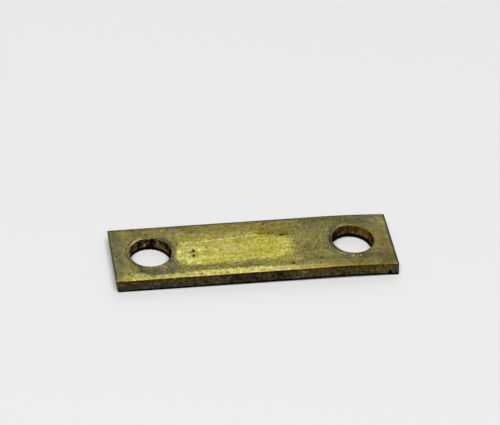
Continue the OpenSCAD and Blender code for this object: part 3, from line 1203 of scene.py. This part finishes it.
def sheared_edge(colours):
    """Sheared long edges and ends: dark, streaked upright, black along the bottom with soot and painted
    contact shade
    """
    finish = Finish("sheared_edge", colours)
    edge = Fields(finish, EDGE_NOISES)
    edge.level = finish.level()
    edge.ragged_level = edge.blend(edge.level, EDGE_RAGGED)
    edge.soot_level = edge.blend(edge.level, EDGE_SOOT_AND_SHADE_RAGGED)
    edge.arris_level = edge.blend(edge.level, EDGE_ARRIS_RAGGED)
    edge.stretch(EDGE_STRETCHES)
    from_dark_row = edge.blend(edge.level - DARK_ROW_LEVEL, DARK_ROW_RAGGED)
    edge.dark_row = abs(from_dark_row).ramp(*DARK_ROW_FADE)
    edge.arris = edge.arris_rows * edge.arris_stretch
    edge.bright_arris = edge.arris * edge.bright_stretch
    edge.brown_upper = edge.upper * abs(edge.x - BROWN_MIDDLE).ramp(*BROWN_FADE)
    tone = edge.blend(EDGE_TONE, EDGE_TONE_CHANGES)
    for place, reach, change in EDGE_SHADES:
        tone = tone + abs(edge.x - place).ramp(reach, reach * SHADE_CORE) * change
    # Painted shade: the recess of the nick is painted black
    nick = spot(edge.x, edge.z, NICK_SHADE_PLACE, NICK_SHADE_SIZES) * edge.y.ramp(*NEAR_SIDE)
    colour = finish.colour_scale(tone * edge.clean * (1 - nick), EDGE_SCALE)
    hue = edge.blend(EDGE_HUE, EDGE_HUE_CHANGES)
    colour = finish.shifted(colour, hue, edge.blend(EDGE_SATURATION, EDGE_SATURATION_CHANGES))
    finish.bump(edge.blend(0, TORN_RELIEF), EDGE_RELIEF_DEPTH)
    return finish.complete(colour, edge.blend(TORN_ROUGHNESS, TORN_ROUGHNESS_CHANGES), "dull_sheen")


def hole_wall(colours):
    """Punched hole walls: brown, with torn upright streaks, dark blots and a lower rim blackened with
    soot and painted contact shade
    """
    finish = Finish("hole_wall", colours)
    wall = Fields(finish, WALL_NOISES)
    wall.level = finish.level()
    wall.ragged_level = wall.blend(wall.level, WALL_RAGGED)
    wall.soot_level = wall.blend(wall.level, WALL_SOOT_AND_SHADE_RAGGED)
    wall.stretch(WALL_STRETCHES)
    wall.torn_streaks = wall.streaks * wall.torn_side
    wall.torn_mottle = wall.mottle * wall.torn_side
    wall.torn_blots = wall.dark_blots * wall.torn_side
    tone = wall.blend(WALL_TONE, WALL_TONE_CHANGES)
    shade_place = strayed(wall, WALL_SHADES_RAGGED, "x", "z")
    for centre, sizes, change in WALL_SHADES:
        tone = tone + spot(*shade_place, centre, sizes) * change
    tone = tone * wall.blend(1, WALL_BLOTS)
    colour = finish.colour_scale(tone * wall.clean, WALL_SCALE)
    hue = wall.blend(WALL_HUE, WALL_HUE_CHANGES)
    colour = finish.shifted(colour, hue, wall.blend(WALL_SATURATION, WALL_SATURATION_CHANGES))
    finish.bump(wall.blend(0, TORN_RELIEF), WALL_RELIEF_DEPTH)
    return finish.complete(colour, wall.blend(TORN_ROUGHNESS, TORN_ROUGHNESS_CHANGES), "dull_sheen")


# Operators


class BUSBAR_OT_strip(bpy.types.Operator):
    """Model the brass strip and put it in the place of the plain solid"""

    bl_idname = "busbar.strip"
    bl_label = "Brass Strip"

    def execute(self, context):
        sizes = context.scene.busbar_sizes
        colours = context.scene.busbar_colours
        bm = flat_blank(sizes)
        shape_strip(bm, sizes)
        mesh = bpy.data.meshes.new("brass_strip")
        bm.to_mesh(mesh)
        bm.free()
        for finish in (worn_face, worn_underside, sheared_edge, hole_wall):
            mesh.materials.append(finish(colours))
        strip = bpy.data.objects.new("brass_strip", mesh)
        context.scene.collection.objects.link(strip)
        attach(strip, "root")
        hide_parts("bus_bar")
        return {"FINISHED"}


class BUSBAR_OT_stage(bpy.types.Operator):
    """Set up the table, the light and the camera"""

    bl_idname = "busbar.stage"
    bl_label = "Stage"

    def execute(self, context):
        settings = context.scene.busbar_stage
        add_floor(context.scene, settings)
        add_light(context.scene, settings)
        add_camera(context.scene, settings)
        context.scene.view_settings.view_transform = "Standard"
        return {"FINISHED"}


def table_finish(settings):
    """Plain pale table"""
    finish = Finish("table_top", settings)
    finish.shader.inputs["Base Color"].default_value = finish.shade("floor_colour")
    finish.shader.inputs["Roughness"].default_value = TABLE_ROUGHNESS
    return finish.material


def add_floor(scene, settings):
    """A wide pale table top"""
    bm = bmesh.new()
    bmesh.ops.create_grid(bm, x_segments=1, y_segments=1, size=TABLE_HALF_SIZE)
    mesh = bpy.data.meshes.new("table_top")
    bm.to_mesh(mesh)
    bm.free()
    mesh.materials.append(table_finish(settings))
    floor = bpy.data.objects.new("table_top", mesh)
    scene.collection.objects.link(floor)


def add_lamp(scene, name, place, radiance):
    """Adds a square lamp of a given brightness that faces the strip"""
    lamp = bpy.data.lights.new(name, "AREA")
    lamp.size = LAMP_SIZE
    lamp.energy = math.pi * LAMP_SIZE ** 2 * radiance
    holder = bpy.data.objects.new(name, lamp)
    holder.location = place
    holder.rotation_euler = (-place).to_track_quat("-Z", "Y").to_euler()
    scene.collection.objects.link(holder)


def add_light(scene, settings):
    """Even light from all round, a soft box overhead and a pale card behind the strip"""
    world = bpy.data.worlds.new("room")
    world.use_nodes = True
    background = world.node_tree.nodes["Background"]
    background.inputs["Color"].default_value = (1, 1, 1, 1)
    background.inputs["Strength"].default_value = settings.room_light
    scene.world = world
    add_lamp(scene, "soft_box", SOFT_BOX_PLACE, settings.box_light)
    add_lamp(scene, "card", CARD_PLACE, settings.card_light)


def add_camera(scene, settings):
    """A camera that looks down on the strip from the front left"""
    lens = bpy.data.cameras.new("camera")
    lens.lens = settings.lens
    camera = bpy.data.objects.new("camera", lens)
    turn = Euler((math.pi / 2 - settings.camera_elevation, 0, -settings.camera_azimuth)).to_matrix()
    turn = turn @ Matrix.Rotation(settings.camera_roll, 3, "Z").inverted()
    back = turn @ Vector((0, 0, 1))
    camera.location = Vector(settings.camera_aim) + back * settings.camera_distance
    camera.rotation_euler = turn.to_euler()
    scene.collection.objects.link(camera)
    scene.camera = camera


class BUSBAR_PT_panel(bpy.types.Panel):
    """Lists the strip, the stage and their settings"""

    bl_idname = "BUSBAR_PT_panel"
    bl_label = "Bus Bar"
    bl_space_type = "VIEW_3D"
    bl_region_type = "UI"
    bl_category = "Bus Bar"

    def draw(self, context):
        scene = context.scene
        for operator, groups in (
            (BUSBAR_OT_strip, (scene.busbar_sizes, scene.busbar_colours)),
            (BUSBAR_OT_stage, (scene.busbar_stage,)),
        ):
            box = self.layout.box()
            box.operator(operator.bl_idname)
            for group in groups:
                for name in group.__annotations__:
                    box.prop(group, name)


CLASSES = (StripSizes, BrassColours, StageSettings, BUSBAR_OT_strip, BUSBAR_OT_stage, BUSBAR_PT_panel)


def register():
    for cls in CLASSES:
        bpy.utils.register_class(cls)
    bpy.types.Scene.busbar_sizes = PointerProperty(type=StripSizes)
    bpy.types.Scene.busbar_colours = PointerProperty(type=BrassColours)
    bpy.types.Scene.busbar_stage = PointerProperty(type=StageSettings)


def unregister():
    del bpy.types.Scene.busbar_stage
    del bpy.types.Scene.busbar_colours
    del bpy.types.Scene.busbar_sizes
    for cls in reversed(CLASSES):
        bpy.utils.unregister_class(cls)


def main():
    register()
    bpy.ops.busbar.strip()
    bpy.ops.busbar.stage()


if __name__ == "__main__":
    main()
